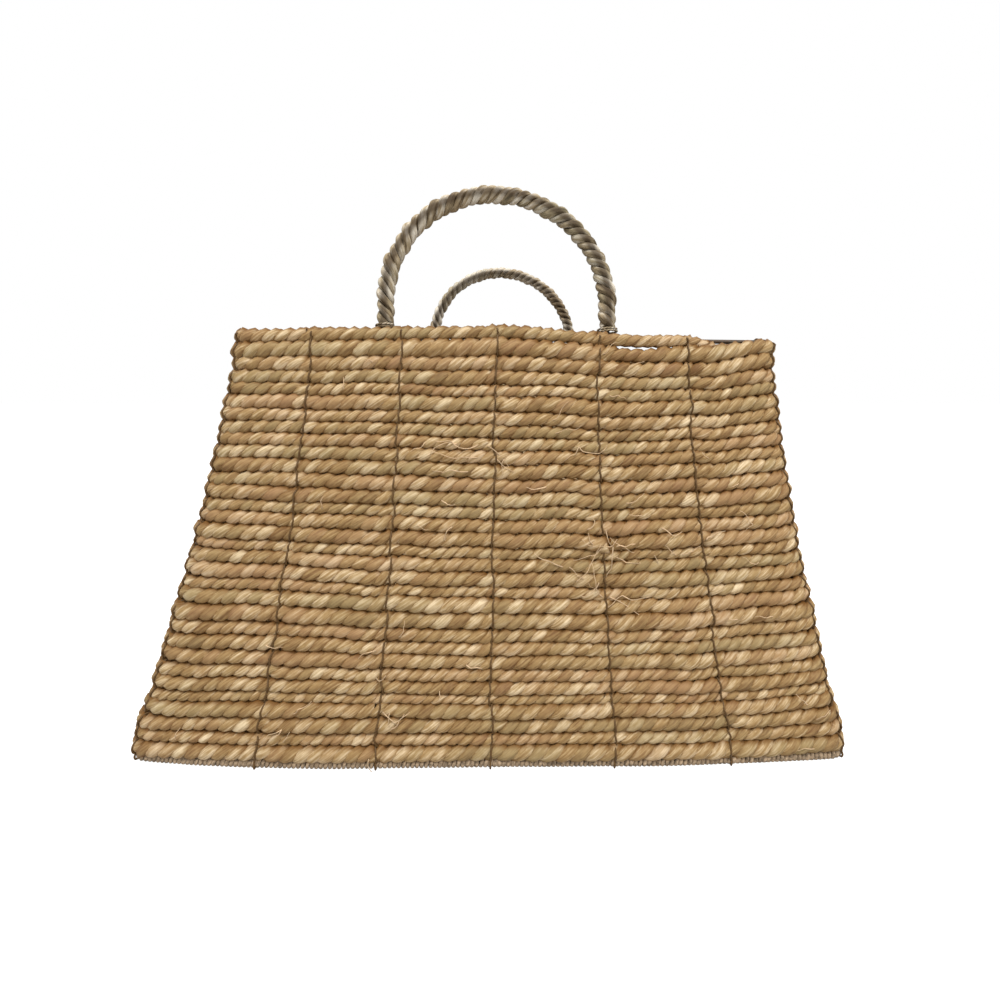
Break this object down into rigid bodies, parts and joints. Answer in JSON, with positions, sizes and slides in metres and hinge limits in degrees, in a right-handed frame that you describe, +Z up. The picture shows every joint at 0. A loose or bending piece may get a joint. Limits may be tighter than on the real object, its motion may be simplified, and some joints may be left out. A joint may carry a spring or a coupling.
{
  "type": "magazine basket",
  "caption": "Tapered floor basket of rope wound round a wire frame, with a hoop handle standing on each long side, for magazines and papers.",
  "frame": {"origin": "on the floor, at the middle of the base", "axes": "+X to the right along the long front wall, +Y from the front to the back, +Z up"},
  "size_m": [0.5015, 0.3496, 0.3912],
  "materials": {
    "seagrass_rope": "matt twisted plant fibre",
    "handle_rope": "matt, hard-twisted plant fibre, greyer than the wall",
    "whipping_cord": "matt thin cord, tightly wound",
    "binding_thread": "dark waxed thread",
    "frame_wire": "dark, semi-matt"
  },
  "bodies": {
    "root": {"back_handle_rope": "handle_rope", "back_handle_wire": "frame_wire", "back_handle_wrap_left": "handle_rope", "back_handle_wrap_right": "handle_rope", "base_cross_wire_1": "frame_wire", "base_cross_wire_2": "frame_wire", "base_cross_wire_3": "frame_wire", "base_cross_wire_4": "frame_wire", "base_cross_wire_5": "frame_wire", "base_mat": "seagrass_rope", "base_whipping": "whipping_cord", "base_wire": "frame_wire", "corner_post_back_left": "frame_wire", "corner_post_back_right": "frame_wire", "corner_post_front_left": "frame_wire", "corner_post_front_right": "frame_wire", "front_handle_rope": "handle_rope", "front_handle_wire": "frame_wire", "front_handle_wrap_left": "handle_rope", "front_handle_wrap_right": "handle_rope", "rim_wire": "frame_wire", "stake_back_1": "frame_wire", "stake_back_2": "frame_wire", "stake_back_3": "frame_wire", "stake_back_4": "frame_wire", "stake_back_5": "frame_wire", "stake_front_1": "frame_wire", "stake_front_2": "frame_wire", "stake_front_3": "frame_wire", "stake_front_4": "frame_wire", "stake_front_5": "frame_wire", "stake_left_1": "frame_wire", "stake_left_2": "frame_wire", "stake_right_1": "frame_wire", "stake_right_2": "frame_wire", "thread_back_1": "binding_thread", "thread_back_2": "binding_thread", "thread_back_3": "binding_thread", "thread_back_4": "binding_thread", "thread_back_5": "binding_thread", "thread_back_left": "binding_thread", "thread_back_right": "binding_thread", "thread_front_1": "binding_thread", "thread_front_2": "binding_thread", "thread_front_3": "binding_thread", "thread_front_4": "binding_thread", "thread_front_5": "binding_thread", "thread_front_left": "binding_thread", "thread_front_right": "binding_thread", "thread_left_1": "binding_thread", "thread_left_2": "binding_thread", "thread_right_1": "binding_thread", "thread_right_2": "binding_thread", "wall_rope_lower": "seagrass_rope", "wall_rope_upper": "seagrass_rope"}
  },
  "joints": []
}
